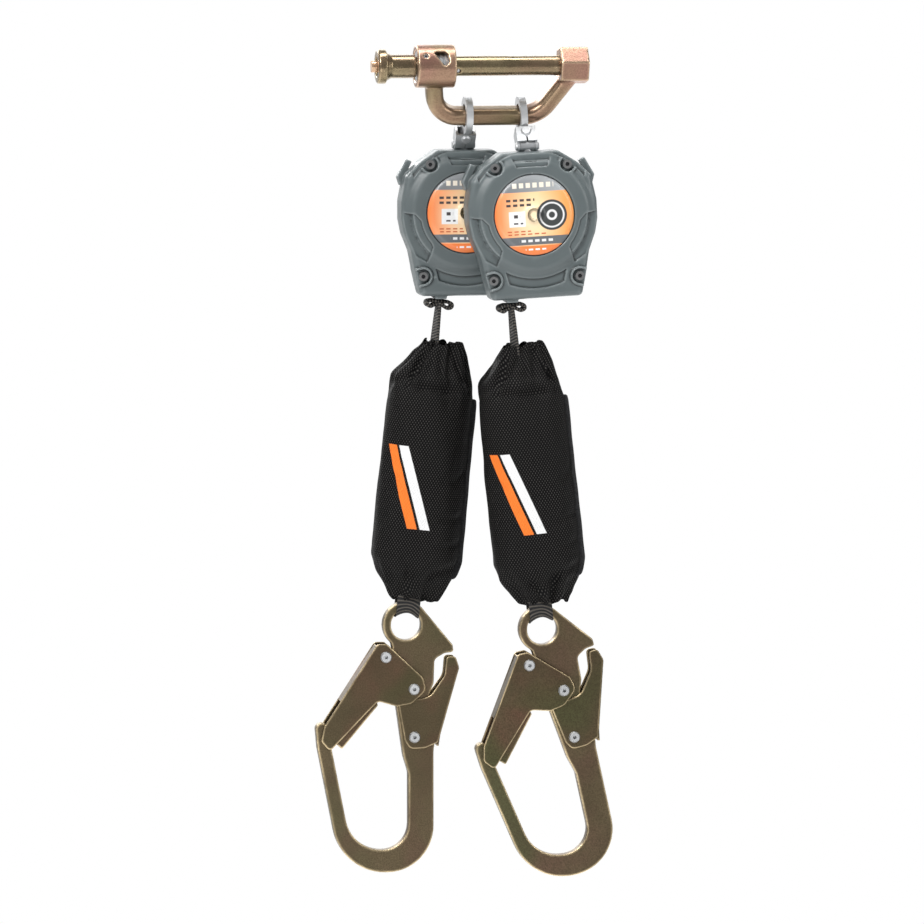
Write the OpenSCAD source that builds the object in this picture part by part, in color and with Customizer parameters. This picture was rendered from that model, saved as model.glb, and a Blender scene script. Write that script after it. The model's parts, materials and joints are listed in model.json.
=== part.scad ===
/* [Harness connector] */
// Radius of the locking pin on its bearing lands
pin_r = 8.5; // [7.5:0.1:9]
// Radius of the slightly relieved stretch that carries the harness straps
seat_r = 8.3; // [7.2:0.1:8.3]
// Length of that strap seat
seat_len = 40; // [30:1:44]
// Length of pin showing between the collar and the end block
gap_len = 90; // [80:1:96]
// Outer radius of the collar
collar_r = 18.2; // [16:0.1:20]
// Length of the collar
collar_len = 33; // [28:1:36]
// Length of the six-sided end block
block_len = 24; // [20:1:28]
// Distance from the pin axis to the centre of the carrying bar
bar_drop = 45; // [42:1:50]
// Height of the carrying bar's section
bar_h = 14.6; // [12:0.1:15]
// Depth of the carrying bar's section
bar_d = 18; // [15:0.1:18]
// Angle by which the connector hangs back about the pin
roll = 19; // [0:1:25]

/* [Housings] */
// Thickness of one housing over both covers
housing_t = 38; // [36:0.5:40]
// Free gap between the front and the rear housing
housing_gap = 2.4; // [2:0.1:6]
// Wall thickness of the covers
wall = 2.4; // [2:0.1:3]
// Radius of the round face plate on each housing
face_r = 46; // [42:1:48]
// Radius of the recess for the round label
label_r = 35; // [30:1:37]
// Distance along the bar from the origin to the left lifeline
left_x = -52; // [-56:1:-48]
// Distance along the bar from the origin to the right lifeline
right_x = -5.5; // [-8:0.5:0]
// Sideways tilt of the right lifeline as it hangs
right_tilt = -3; // [-5:0.5:0]

/* [Lifelines] */
// Width of the webbing
web_w = 17; // [15:0.5:17]
// Distance of the webbing outlet from the housing's middle
outlet_x = 21; // [18:1:24]
// Sideways slope of the left line
left_slope = 6; // [0:0.5:8]
// Sideways slope of the right line
right_slope = -5.5; // [-8:0.5:0]
// Width of the shock pack cover
pack_w = 76; // [66:1:78]
// Depth of the shock pack cover
pack_d = 46; // [40:1:50]
// Length of the shock pack cover
pack_len = 222; // [200:1:224]
// Distance from the outlet to the centre of the hook's eye
hook_drop = 280; // [278:1:290]

/* [Hooks] */
// Thickness of the forged hook
hook_t = 10; // [9:0.5:10]
// Inner radius of the hook's eye
hook_eye_in = 13; // [12:0.5:14]
// Outer radius of the hook's eye
hook_eye_out = 20; // [19:0.5:21]
// Turn of the right hook from straight down
right_hook_turn = -12.4; // [-20:0.1:0]
// Radius of the rivets that carry the gate and the lever
rivet_r = 3; // [2.5:0.1:3]

/* [Hidden] */
LEG_NODES = [
    "eye", "swivel_pins", "stirrup", "swivel_post", "load_frame", "front_cover",
    "rear_cover", "cover_screws", "drum", "drum_shaft", "wound_web", "power_spring",
    "ratchet_ring", "pawl_a", "pawl_b", "lead_web", "web_stop", "lanyard_web",
    "shock_pack", "pack_cover", "hook_body", "hook_gate", "gate_rivet",
    "hook_lever", "hook_rivets", "hook_springs"
];
$fn = 64;
eps = 0.02;
run = 0.06;              // radial clearance of a running fit

// Connector, along X
seat_end = 20;
block_x = seat_end + 4;
collar_x = block_x - gap_len;
collar_x0 = collar_x - collar_len;
neck_r = 10;
neck_len = 21;
flange_r = 14.6;
flange_len = 12;
flange_x0 = collar_x0 - neck_len - flange_len;
button_r = 5;
button_out = 4.5;
ball_r = 2.2;
ball_x = collar_x + 2.4;
ball_angle = 30;
sleeve_r = 12.8;

// Swivel link: bar centre to rivet to fold pin
half_gap = (housing_t + housing_gap) / 2;
fold_drop = 25.5;
link_len = sqrt(half_gap * half_gap + fold_drop * fold_drop);
lean = atan2(half_gap, fold_drop);
eye_in = 9.8;
eye_out = 16;
eye_t = 5.7;
eye_rivet = 21.5;
eye_rivet_r = 2;
boss_r = 4.2;
cheek_in = 4.65;
cheek_out = 6.65;
stirrup_w = 17;
stirrup_wall = 2;
knuckle_r = 4.4;
fold_pin_r = 2.5;

// Housing, measured from the drum's centre
drum_drop = 57;
top_z = 52;
bottom_z = -71.5;
half_t = housing_t / 2;
outline = [
    [25, top_z], [41, 41.5], [51.5, 31], [55.5, 10], [55.5, -6],
    [53, -18], [46.5, -34], [43, -52], [38.5, bottom_z]
];
screw_spots = [[-31, 41], [31, 41], [-37, -54], [37, -54]];
post_r = 4;
shaft_r = 5;
flange_drum_r = 38;
wound_r = 31;
hub_r = 12;
ratchet_teeth = 16;
ratchet_in = 34;
ratchet_root = 37.5;
ratchet_out = 40;
pawl_x = 26;
pawl_pin_r = 2;

// Line, measured from the webbing outlet
nozzle_h = 2.5;
pack_top = -36;
pack_shift = 3.5;
pack_wall = 2.4;
folds_top = -72;
folds_len = 150;
fold_count = 6;
fold_pitch = 4.2;
web_t = 3;

// Hook, measured from the centre of its eye
gate_pivot = [6.3, -54.9];
lever_pivot = [6.9, -96.5];
gate_pin = [-18, -26.9];
lever_in = hook_t / 2 + 0.3;
lever_out = lever_in + 1.8;
gate_in = lever_out + 0.3;
gate_out = gate_in + 2;
head_r = 4.9;
head_t = 1.6;

// ---------- shared shapes ----------

function arc(c, r, a0, a1, n) =
    [for (i = [0:n]) c + r * [cos(a0 + (a1 - a0) * i / n), sin(a0 + (a1 - a0) * i / n)]];

function unit(v) = v / norm(v);

function turn(a, b) = let (d = b - a) d > 180 ? d - 360 : d < -180 ? d + 360 : d;

// Arc that rounds corner p between neighbours a and b with radius r
function fillet(a, p, b, r, n) =
    let (
        u = unit(a - p), v = unit(b - p),
        half = acos(max(-1, min(1, u * v))) / 2,
        c = p + unit(u + v) * r / sin(half),
        s = p + u * r / tan(half) - c,
        e = p + v * r / tan(half) - c,
        a0 = atan2(s[1], s[0]),
        a1 = a0 + turn(a0, atan2(e[1], e[0]))
    )
    r < eps ? [p] : arc(c, r, a0, a1, n);

// Closed outline from corners [x, z, radius]
function rounded(corners, n = 6) =
    let (k = len(corners), xy = [for (c = corners) [c[0], c[1]]])
    [for (i = [0:k - 1])
        each fillet(xy[(i + k - 1) % k], xy[i], xy[(i + 1) % k], corners[i][2], n)];

// Open path from corners [x, z, radius]; the first and last stay sharp
function bent_path(corners, n = 6) =
    let (k = len(corners), xy = [for (c = corners) [c[0], c[1]]])
    [for (i = [0:k - 1])
        each (i == 0 || i == k - 1 ? [xy[i]]
            : fillet(xy[i - 1], xy[i], xy[i + 1], corners[i][2], n))];

function with_mirror(half) =
    concat(half, [for (i = [len(half) - 1:-1:0]) [-half[i][0], half[i][1]]]);

function with_radius(points, r) = [for (p = points) [p[0], p[1], r]];

// Solid between two depths from an outline in the XZ plane
module plate(points, y0, y1) {
    translate([0, y1, 0])
        rotate([90, 0, 0])
            linear_extrude(y1 - y0)
                polygon(points);
}

module rod_x(r, x0, x1, taper = 0) {
    translate([x0, 0, 0])
        rotate([0, 90, 0])
            cylinder(h = x1 - x0, r1 = r, r2 = r - taper);
}

module rod_y(r, y0, y1, taper = 0) {
    translate([0, y0, 0])
        rotate([-90, 0, 0])
            cylinder(h = y1 - y0, r1 = r, r2 = r - taper);
}

module rod_z(r, z0, z1) {
    translate([0, 0, z0])
        cylinder(h = z1 - z0, r = r);
}

module block(x0, x1, y0, y1, z0, z1) {
    translate([x0, y0, z0])
        cube([x1 - x0, y1 - y0, z1 - z0]);
}

// Closed skin over rings that all have the same number of points
module skin(rings) {
    sides = len(rings[0]);
    last = len(rings) - 1;
    polyhedron(
        points = [for (ring = rings) each ring],
        faces = concat(
            [[for (j = [sides - 1:-1:0]) j]],
            [for (i = [0:last - 1], j = [0:sides - 1])
                [i * sides + j, i * sides + (j + 1) % sides,
                 (i + 1) * sides + (j + 1) % sides, (i + 1) * sides + j]],
            [[for (j = [0:sides - 1]) last * sides + j]]
        ),
        convexity = 4
    );
}

// Bar with a constant section [across, depth] swept along a path in the XZ plane
function sweep_rings(path, section) =
    let (last = len(path) - 1)
    [for (i = [0:last])
        let (
            d = unit(path[min(i + 1, last)] - path[max(i - 1, 0)]),
            side = [-d[1], d[0]]
        )
        [for (s = section) let (p = path[i] + side * s[0]) [p[0], s[1], p[1]]]];

// Coil of round wire about the Z axis
function coil_rings(r, wire, height, turns, steps = 14, sides = 8) =
    [for (i = [0:turns * steps])
        let (a = 360 * i / steps, z = height * i / (turns * steps))
        [for (j = [0:sides - 1])
            let (b = -360 * j / sides, q = r + wire / 2 * cos(b))
            [q * cos(a), q * sin(a), z + wire / 2 * sin(b)]]];

module coil(r, wire, height, turns) {
    skin(coil_rings(r, wire, height, turns));
}

// ---------- where each group hangs ----------

function is_left(side) = side == "left";

module leg_frame(side) {
    translate([is_left(side) ? left_x : right_x, bar_drop * sin(roll), -bar_drop * cos(roll)])
        rotate([0, is_left(side) ? 0 : right_tilt, 0])
            children();
}

module link_frame(side) {
    leg_frame(side)
        rotate([is_left(side) ? lean : -lean, 0, 0])
            children();
}

module fold_frame(side) {
    leg_frame(side)
        translate([0, is_left(side) ? half_gap : -half_gap, -fold_drop])
            children();
}

module drum_frame(side) {
    fold_frame(side)
        translate([0, 0, -drum_drop])
            children();
}

module line_frame(side) {
    drum_frame(side)
        translate([-outlet_x, 0, bottom_z - nozzle_h])
            rotate([0, is_left(side) ? left_slope : right_slope - right_tilt, 0])
                children();
}

module hook_frame(side) {
    line_frame(side)
        translate([0, 0, -hook_drop])
            rotate([0, is_left(side) ? -left_slope : right_hook_turn - right_slope, 0])
                children();
}

// ---------- harness connector ----------

module connector_frame() {
    corner = 5.5;
    section = rounded([
        [-bar_h / 2, -bar_d / 2, corner], [bar_h / 2, -bar_d / 2, corner],
        [bar_h / 2, bar_d / 2, corner], [-bar_h / 2, bar_d / 2, corner]
    ], 4);
    path = bent_path([
        [collar_x0 + 16, -12, 0], [collar_x0 + 20, -bar_drop, 20],
        [8, -bar_drop, 26], [block_x + 10, -8, 0]
    ], 8);
    lens_r = 190;
    color("#c9a878")
        rotate([roll, 0, 0])
            difference() {
                union() {
                    skin(sweep_rings(path, section));
                    rod_x(collar_r, collar_x0, collar_x);
                    translate([block_x, 0, 0])
                        rotate([0, 90, 0])
                            cylinder(h = block_len, r = 16.7, $fn = 6);
                }
                rod_x(pin_r + run, collar_x0 - 1, block_x + block_len - 3);
                rod_x(sleeve_r + 0.2, collar_x0 - 1, collar_x - 3);
                // slanted window that shows the sleeve
                rotate([48, 0, 0])
                    translate([collar_x - 13, 0, sleeve_r - 3])
                        linear_extrude(12)
                            polygon(rounded([[-7, 7, 2], [5, 7, 2], [7, -3, 3], [3, -7, 2]]));
                rotate([40, 0, 0])
                    translate([collar_x0 + 7, 0, 0])
                        rod_z(2, sleeve_r - 1, collar_r + 1);
                // lens-shaped panel along the bar's front
                translate([-28, -bar_d / 2 + 0.5, -bar_drop])
                    rotate([90, 0, 0])
                        linear_extrude(2)
                            intersection() {
                                translate([0, lens_r - 4.4]) circle(r = lens_r, $fn = 360);
                                translate([0, 4.4 - lens_r]) circle(r = lens_r, $fn = 360);
                            }
            }
}

module connector_pin() {
    face = 2.5;
    spring_room = 12.5;
    color("#a99a5e")
        difference() {
            union() {
                rod_x(pin_r, collar_x0 - 1, -seat_len / 2);
                rod_x(seat_r, -seat_len / 2, seat_len / 2);
                rod_x(pin_r, seat_len / 2, block_x + block_len - 5);
                rod_x(pin_r, block_x + block_len - 5, block_x + block_len - 3.5, 1.2);
                rod_x(neck_r, collar_x0 - neck_len, collar_x0 - 0.3);
                rod_x(12.6, flange_x0 + 7.5, flange_x0 + flange_len, 2.4);
                rod_x(flange_r, flange_x0 + 1.2, flange_x0 + 7.5);
                rod_x(flange_r - 1.2, flange_x0, flange_x0 + 1.2, -1.2);
            }
            rod_x(8.6, flange_x0 - 1, flange_x0 + face);
            rod_x(button_r + 0.4, flange_x0 - 1, flange_x0 + spring_room);
            rod_x(3.6, flange_x0, ball_x + 5);
            rotate([ball_angle, 0, 0])
                translate([ball_x, 0, 0])
                    rod_y(ball_r + 0.1, -pin_r - 1, pin_r + 1);
        }
}

module pin_button() {
    color("#b98d5c") {
        rod_x(button_r, flange_x0 - button_out, flange_x0 + 6);
        rod_x(3.3, flange_x0 + 5, ball_x + 1);
    }
}

module pin_balls() {
    color("#b9b9b4")
        rotate([ball_angle, 0, 0])
            for (y = [-1, 1])
                translate([ball_x, y * (pin_r - ball_r), 0])
                    sphere(r = ball_r, $fn = 40);
}

module pin_spring() {
    color("#9a9a9a")
        translate([flange_x0 + 6.6, 0, 0])
            rotate([0, 90, 0])
                coil(4.35, 0.9, 5.2, 4);
}

module collar_sleeve() {
    rib_pitch = 3.6;
    color("#b4b4b0")
        difference() {
            rod_x(sleeve_r, collar_x0 + 1, collar_x - 3.2);
            rod_x(pin_r + run, collar_x0, collar_x);
            for (i = [1:6])
                translate([collar_x0 + 4 + i * rib_pitch, 0, 0])
                    difference() {
                        rod_x(sleeve_r + 1, 0, 1);
                        rod_x(sleeve_r - 0.9, -1, 2);
                    }
        }
}

module collar_screw() {
    color("#4c4438")
        rotate([roll + 40, 0, 0])
            translate([collar_x0 + 7, 0, 0])
                difference() {
                    rod_z(1.9, sleeve_r + 0.4, collar_r - 1);
                    translate([0, 0, collar_r - 2.2])
                        cylinder(h = 2, r = 1.1, $fn = 6);
                }
}

// ---------- swivel link ----------

module eye(side) {
    color("#d4d6d8")
        link_frame(side)
            difference() {
                union() {
                    rod_x(eye_out, -eye_t / 2, eye_t / 2);
                    block(-eye_t / 2, eye_t / 2, -boss_r, boss_r, -eye_rivet, -eye_in - 2);
                    translate([0, 0, -eye_rivet]) rod_y(boss_r, -4.3, 4.3);
                }
                rod_x(eye_in, -eye_t, eye_t);
                translate([0, 0, -eye_rivet]) rod_y(eye_rivet_r + run, -9, 9);
            }
}

module swivel_pins(side) {
    out = cheek_out + 0.1;
    color("#c6c8ca")
        link_frame(side) {
            translate([0, 0, -eye_rivet]) {
                rod_y(eye_rivet_r, -out - 0.4, out + 0.4);
                rod_y(head_r - 0.5, out, out + 1.6, 1.2);
                translate([0, -out - 1.6, 0]) rod_y(3.2, 0, 1.6, -1.2);
            }
            translate([0, 0, -link_len]) {
                rod_x(fold_pin_r, -stirrup_w / 2 - 0.5, stirrup_w / 2 + 0.5);
                for (x = [-1, 1])
                    scale([x, 1, 1])
                        rod_x(3.6, stirrup_w / 2 + 0.1, stirrup_w / 2 + 1.4, 0.8);
            }
        }
}

module stirrup(side) {
    top = -16.3;
    bottom = -link_len + 1.5;
    half = stirrup_w / 2;
    inner = half - stirrup_wall;
    color("#d0d2d4")
        link_frame(side)
            difference() {
                union() {
                    block(-half, half, -cheek_out, cheek_out, bottom, top);
                    for (x = [-half, inner])
                        translate([x, 0, 0]) {
                            block(0, stirrup_wall, -knuckle_r, knuckle_r, -link_len, bottom + 1);
                            translate([0, 0, -link_len]) rod_x(knuckle_r, 0, stirrup_wall);
                        }
                }
                block(-inner, inner, -cheek_in, cheek_in, -link_len - 9, top + 1);
                block(-0.7, 0.7, -9, 9, bottom - 1, -eye_rivet - 5);
                translate([0, 0, -eye_rivet]) rod_y(eye_rivet_r + run, -9, 9);
                translate([0, 0, -link_len]) rod_x(fold_pin_r + run, -half - 1, half + 1);
            }
}

module swivel_post(side) {
    half = stirrup_w / 2 - stirrup_wall - 0.3;
    nut_z = bridge_z[0] - 0.3 - drum_drop;
    color("#9fa3a6")
        fold_frame(side)
            difference() {
                union() {
                    rod_x(knuckle_r, -half, half);
                    rod_z(post_r, nut_z - 3, -2);
                    translate([0, 0, nut_z - 3.4]) cylinder(h = 3.4, r = 6.6, $fn = 6);
                }
                rod_x(fold_pin_r + run, -half - 1, half + 1);
            }
}

// ---------- housing ----------

// Cover from the parting plane to one face, front for face = -1 and rear for face = 1
module cover_shell(face) {
    shape = rounded(with_radius(with_mirror(outline), 4), 4);
    inside = [for (p = shape) p * 0.953];
    inner_y = half_t - wall;
    sign = face < 0 ? 1 : 0;
    difference() {
        union() {
            mirror([0, sign, 0]) plate(shape, 0, half_t - 3);
            mirror([0, sign, 0]) rod_y(face_r + 6, half_t - 4, half_t, 6);
            mirror([0, sign, 0])
                block(-outlet_x - 5, -outlet_x + 5, 0, web_w / 2 + 3, bottom_z - nozzle_h + 0.4,
                    bottom_z + 2);
        }
        difference() {
            mirror([0, sign, 0]) plate(inside, -1, half_t - 3 - wall);
            for (s = screw_spots)
                translate([s[0], 0, s[1]]) rod_y(4.6, -half_t, half_t);
        }
        mirror([0, sign, 0]) rod_y(face_r, -1, inner_y);
        for (s = screw_spots)
            translate([s[0], 0, s[1]]) {
                rod_y(2.1, -half_t - 1, half_t + 1);
                mirror([0, sign, 0]) rod_y(5.4, half_t - 5.4, half_t + 1);
            }
        // swivel hole and webbing outlet, half in each cover
        rod_z(post_r + 0.3, top_z - 8, top_z + 2);
        block(-outlet_x - 2.6, -outlet_x + 2.6, -web_w / 2 - 0.6, web_w / 2 + 0.6,
            bottom_z - nozzle_h - 1, bottom_z + 9);
    }
}

module front_cover(side) {
    color("#6b7375")
        drum_frame(side)
            difference() {
                cover_shell(-1);
                translate([0, -half_t, 0]) rod_y(label_r, -1, 0.8);
            }
}

module rear_cover(side) {
    lug = rounded([[44, 43, 1], [49, 45, 2], [57, 30, 2], [54.5, 22, 1], [50, 30, 1]]);
    color("#5f676a")
        drum_frame(side) {
            cover_shell(1);
            for (sign = [0, 1]) mirror([sign, 0, 0]) plate(lug, 1, 9);
        }
}

module cover_screws(side) {
    seat = half_t - 5.4;
    color("#2f3234")
        drum_frame(side)
            for (s = screw_spots)
                translate([s[0], 0, s[1]])
                    difference() {
                        union() {
                            rod_y(2, -seat - 0.5, seat + 0.5);
                            rod_y(3.8, -seat - 2.6, -seat - 0.05);
                            translate([0, seat + 0.05, 0])
                                rotate([-90, 0, 0])
                                    cylinder(h = 2.4, r = 4, $fn = 6);
                        }
                        translate([0, -seat - 2.7, 0])
                            rotate([-90, 0, 0])
                                cylinder(h = 1.6, r = 1.9, $fn = 6);
                    }
}

frame_front = [-16.4, -14.4];
frame_rear = [10.3, 12.3];
frame_r = 44.6;
bridge_z = [top_z - 11.4, top_z - 8.4];
tie_spots = [[33.4, -26.1], [-39.8, 14.7]];

module load_frame(side) {
    corner = atan2(bridge_z[1], 14);
    shape = concat(
        [[-14, bridge_z[1]]],
        arc([0, 0], frame_r, 181 - corner, 359 + corner, 40),
        [[14, bridge_z[1]]]
    );
    color("#8d9296")
        drum_frame(side)
            difference() {
                union() {
                    plate(shape, frame_front[0], frame_front[1]);
                    plate(shape, frame_rear[0], frame_rear[1]);
                    block(-14, 14, frame_front[0], frame_rear[1], bridge_z[0], bridge_z[1]);
                    for (s = tie_spots)
                        translate([s[0], 0, s[1]]) rod_y(1.7, frame_front[0], frame_rear[1]);
                }
                rod_y(shaft_r + run, -half_t, half_t);
                rod_z(post_r + 0.3, bridge_z[0] - 1, top_z);
            }
}

module drum_shaft(side) {
    color("#a8acae")
        drum_frame(side)
            difference() {
                rod_y(shaft_r, frame_front[0], 16);
                block(-0.8, 0.8, 12.5, 17, -shaft_r - 1, shaft_r + 1);
            }
}

module drum(side) {
    flange_y = [-9.9, 8.7];
    color("#c2c5c4")
        drum_frame(side)
            difference() {
                union() {
                    rod_y(hub_r, -9, 9);
                    for (y = flange_y) rod_y(flange_drum_r, y, y + 1.2);
                    // studs that carry the pawls
                    for (x = [-1, 1])
                        translate([x * pawl_x, 0, 0]) rod_y(pawl_pin_r, -13.9, -9.5);
                }
                rod_y(shaft_r, -12, 12);
                for (a = [60, 120, 240, 300])
                    rotate([0, a, 0])
                        translate([24.5, 0, 0]) rod_y(5, -12, 12);
            }
}

module wound_web(side) {
    color("#1d1d1e")
        drum_frame(side)
            difference() {
                rod_y(wound_r, -web_w / 2, web_w / 2);
                rod_y(hub_r + 0.05, -web_w, web_w);
            }
}

module power_spring(side) {
    turns = 6;
    steps = 20;
    r0 = shaft_r + 1.4;
    pitch = 4.6;
    strip = 0.8;
    n = turns * steps;
    spiral = [for (i = [0:n]) [360 * i / steps, r0 + pitch * i / steps]];
    color("#7d8286")
        drum_frame(side)
            plate(concat(
                [for (p = spiral) (p[1] + strip) * [cos(p[0]), sin(p[0])]],
                [for (i = [n:-1:0]) spiral[i][1] * [cos(spiral[i][0]), sin(spiral[i][0])]]
            ), 12.7, 16.2);
}

module ratchet_ring(side) {
    pitch = 360 / ratchet_teeth;
    teeth = [for (i = [0:ratchet_teeth - 1], p = [[-0.32, 0], [0.26, 0], [0.3, 1], [0.64, 1]])
        (p[1] == 0 ? ratchet_root : ratchet_in) * [cos((i + p[0]) * pitch), sin((i + p[0]) * pitch)]];
    color("#9b9fa2")
        drum_frame(side)
            difference() {
                rod_y(ratchet_out, -14.35, -10.5);
                plate(teeth, -15, -10);
            }
}

// Pawl that turns on a stud of the drum; its tooth swings out into the ratchet ring
module pawl(side, turned) {
    shape = rounded([
        [-3.6, -3.6, 3], [3.6, -3.6, 3], [4.4, 6, 2], [3.4, 14.4, 0.6], [0.4, 13.6, 0.8],
        [-3.4, 6, 3]
    ], 4);
    color("#b0a682")
        drum_frame(side)
            rotate([0, turned, 0])
                translate([pawl_x, 0, 0])
                    difference() {
                        plate(shape, -13.8, -10.4);
                        rod_y(pawl_pin_r + run, -15, -9);
                    }
}

module lead_web(side) {
    gap = 0.1;
    target = [-outlet_x, bottom_z - nozzle_h + 0.3];
    reach = norm(target);
    a = atan2(target[1], target[0]) - acos((wound_r + web_t / 4 + gap) / reach);
    start = (wound_r + web_t / 4 + gap) * [cos(a), sin(a)];
    d = unit(target - start);
    n = [-d[1], d[0]] * web_t / 4;
    color("#1d1d1e")
        drum_frame(side)
            plate([start + n, start - n, target - n, target + n], -web_w / 2, web_w / 2);
}

// ---------- line ----------

module web_stop(side) {
    spread = 8;
    eyelet_r = 1.2;
    color("#141415")
        line_frame(side)
            difference() {
                plate(rounded([
                    [-spread - 4, -6.2, 2.6], [-spread - 2, -1.6, 2.4], [0, -0.3, 3],
                    [spread + 2, -1.6, 2.4], [spread + 4, -6.2, 2.6], [spread, -9.2, 2.6],
                    [0, -4.6, 2], [-spread, -9.2, 2.6]
                ], 4), -web_w / 2, web_w / 2);
                block(-web_t / 4 - 0.1, web_t / 4 + 0.1, -web_w, web_w, -12, 1);
                for (x = [-1, 1])
                    translate([x * spread, 0, -5.2]) rod_y(eyelet_r, -web_w, web_w);
            }
}

function pack_ring(z, w, d, n = 24) =
    [for (i = [0:n - 1])
        let (
            a = 360 * i / n, c = cos(a), s = sin(a),
            x = w / 2 * sign(c) * pow(abs(c), 0.8),
            y = d / 2 * sign(s) * pow(abs(s), 0.8)
        )
        [pack_shift + x, y, z]];

// Fraction of the pack's width and depth at fractions of its length
pack_profile = [
    [0, 0.5, 0.42], [0.03, 0.6, 0.5], [0.08, 0.78, 0.66], [0.14, 0.94, 0.86], [0.2, 1, 0.98],
    [0.5, 1, 1], [0.85, 0.98, 0.98], [0.91, 0.92, 0.86], [0.96, 0.78, 0.68], [1, 0.6, 0.5]
];

function pack_rings(shrink, cut) =
    [for (p = pack_profile)
        let (z = pack_top - cut - (pack_len - 2 * cut) * p[0])
        pack_ring(z, pack_w * p[1] - 2 * shrink, pack_d * p[2] - 2 * shrink)];

module pack_cover(side) {
    color("#1b1b1c")
        line_frame(side)
            difference() {
                skin(pack_rings(0, 0));
                skin(pack_rings(pack_wall, pack_wall));
                block(-web_w / 2 - 1, web_w / 2 + 1, -web_w / 2 - 1, web_w / 2 + 1,
                    pack_top - 12, pack_top + 1);
                block(-12.5, 12.5, -web_w / 2, web_w / 2, pack_top - pack_len - 1,
                    pack_top - pack_len + 12);
            }
}

module shock_pack(side) {
    half = 20;
    fold_r = fold_pitch / 2 + web_t / 2;
    y0 = -(fold_count - 1) * fold_pitch / 2;
    color("#2a2622")
        line_frame(side)
            translate([pack_shift, 0, folds_top]) {
                for (i = [0:fold_count - 1])
                    block(-half, half, y0 + i * fold_pitch - web_t / 2,
                        y0 + i * fold_pitch + web_t / 2, -folds_len, 0);
                for (i = [0:fold_count - 2])
                    translate([0, y0 + (i + 0.5) * fold_pitch, i % 2 == 0 ? -folds_len : 0])
                        rod_x(fold_r, -half, half);
            }
}

module lanyard_web(side) {
    fold_r = fold_pitch / 2 + web_t / 2;
    clear = 0.3;
    band = web_t / 2;
    inner_y = hook_t / 2 + 0.5;
    band_r = hook_eye_in - clear;
    top = hook_eye_out + 6;
    pad = 11;
    color("#161617")
        line_frame(side) {
            // edge-on stretch out of the housing and into the cover
            block(-web_t / 4, web_t / 4, -web_w / 2, web_w / 2, folds_top + fold_r + clear, 0);
            translate([0, 0, -hook_drop]) {
                // loop round the upper rim of the hook's eye
                difference() {
                    block(-pad, pad, -inner_y - band, inner_y + band, 4, top);
                    difference() {
                        block(-pad - 1, pad + 1, -inner_y, inner_y, 0, top - band);
                        rod_y(band_r, -inner_y - 1, inner_y + 1);
                    }
                    rod_y(band_r - band, -inner_y - band - 1, inner_y + band + 1);
                }
                // up to the folded tear webbing
                block(-pad, pad, -web_t, web_t, top - 1,
                    hook_drop + folds_top - folds_len - fold_r - clear);
            }
        }
}

// ---------- hook ----------

module hook_body(side) {
    upper = rounded([
        [-13, -14, 0], [-14.5, 14, 0], [13, 15.6, 1], [40.5, -18, 2], [41, -24, 1.5],
        [33, -25, 3], [24.5, -30, 5], [24, -50, 5], [20, -61, 4], [27, -72, 3],
        [25.5, -94, 4], [23.8, -110, 2], [23.8, -118, 0], [0, -118, 0], [-2.6, -112, 1],
        [-8.6, -69, 3], [-5, -58, 6], [-10, -32, 8]
    ], 4);
    lower = concat(
        [[-2.4, -113]],
        fillet([-2.4, -113], [1.8, -127], [1.8, -193.5], 8, 4),
        fillet([1.8, -127], [1.8, -193.5], [-46.9, -193.5], 22, 10),
        fillet([1.8, -193.5], [-46.9, -193.5], [-64.6, -103], 32, 10),
        fillet([-46.9, -193.5], [-67, -91.5], [-73, -82], 6, 4),
        arc([-72.6, -88.2], 5.4, 50, 190, 8),
        fillet([-77.5, -92], [-76.6, -104], [-55.4, -213], 8, 3),
        fillet([-76.6, -104], [-55.4, -213], [23.8, -213], 46, 14),
        fillet([-55.4, -213], [23.8, -213], [23.8, -113], 39.5, 14),
        [[23.8, -113]]
    );
    pocket_r = 6.6;
    color("#8c7b52")
        hook_frame(side)
            difference() {
                union() {
                    rod_y(hook_eye_out, -hook_t / 2, hook_t / 2);
                    plate(upper, -hook_t / 2, hook_t / 2);
                    plate(lower, -hook_t / 2, hook_t / 2);
                }
                rod_y(hook_eye_in, -hook_t, hook_t);
                for (p = [gate_pivot, lever_pivot])
                    translate([p[0], 0, p[1]]) {
                        rod_y(rivet_r + run, -hook_t, hook_t);
                        rod_y(pocket_r, hook_t / 2 - 4, hook_t);
                    }
            }
}

// Tubular rivet with a hollow centre and a rolled head at each end
module hollow_rivet(reach) {
    difference() {
        union() {
            rod_y(rivet_r, -reach - 0.5, reach + 0.5);
            rod_y(head_r - 0.9, -reach - head_t, -reach - 0.1, -0.9);
            rod_y(head_r, reach + 0.1, reach + head_t, 0.9);
        }
        rod_y(1.5, -reach - head_t - 1, -reach + 3);
        rod_y(1.5, reach - 3, reach + head_t + 1);
    }
}

module hook_rivets(side) {
    color("#c9ccce")
        hook_frame(side) {
            translate([gate_pivot[0], 0, gate_pivot[1]]) hollow_rivet(gate_out);
            translate([lever_pivot[0], 0, lever_pivot[1]]) hollow_rivet(lever_out);
        }
}

module gate_rivet(side) {
    color("#c9ccce")
        hook_frame(side)
            translate([gate_pin[0], 0, gate_pin[1]]) hollow_rivet(gate_out);
}

gate_shape = rounded([
    [-25.5, -15.5, 4], [-17, -15.6, 3], [14, -45, 7], [16.8, -56, 7], [4, -67.4, 9],
    [-9, -69.4, 6], [-25, -64.6, 5], [-66.5, -107, 3.5], [-74, -98, 3.5], [-71.5, -86, 3]
], 5);

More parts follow.
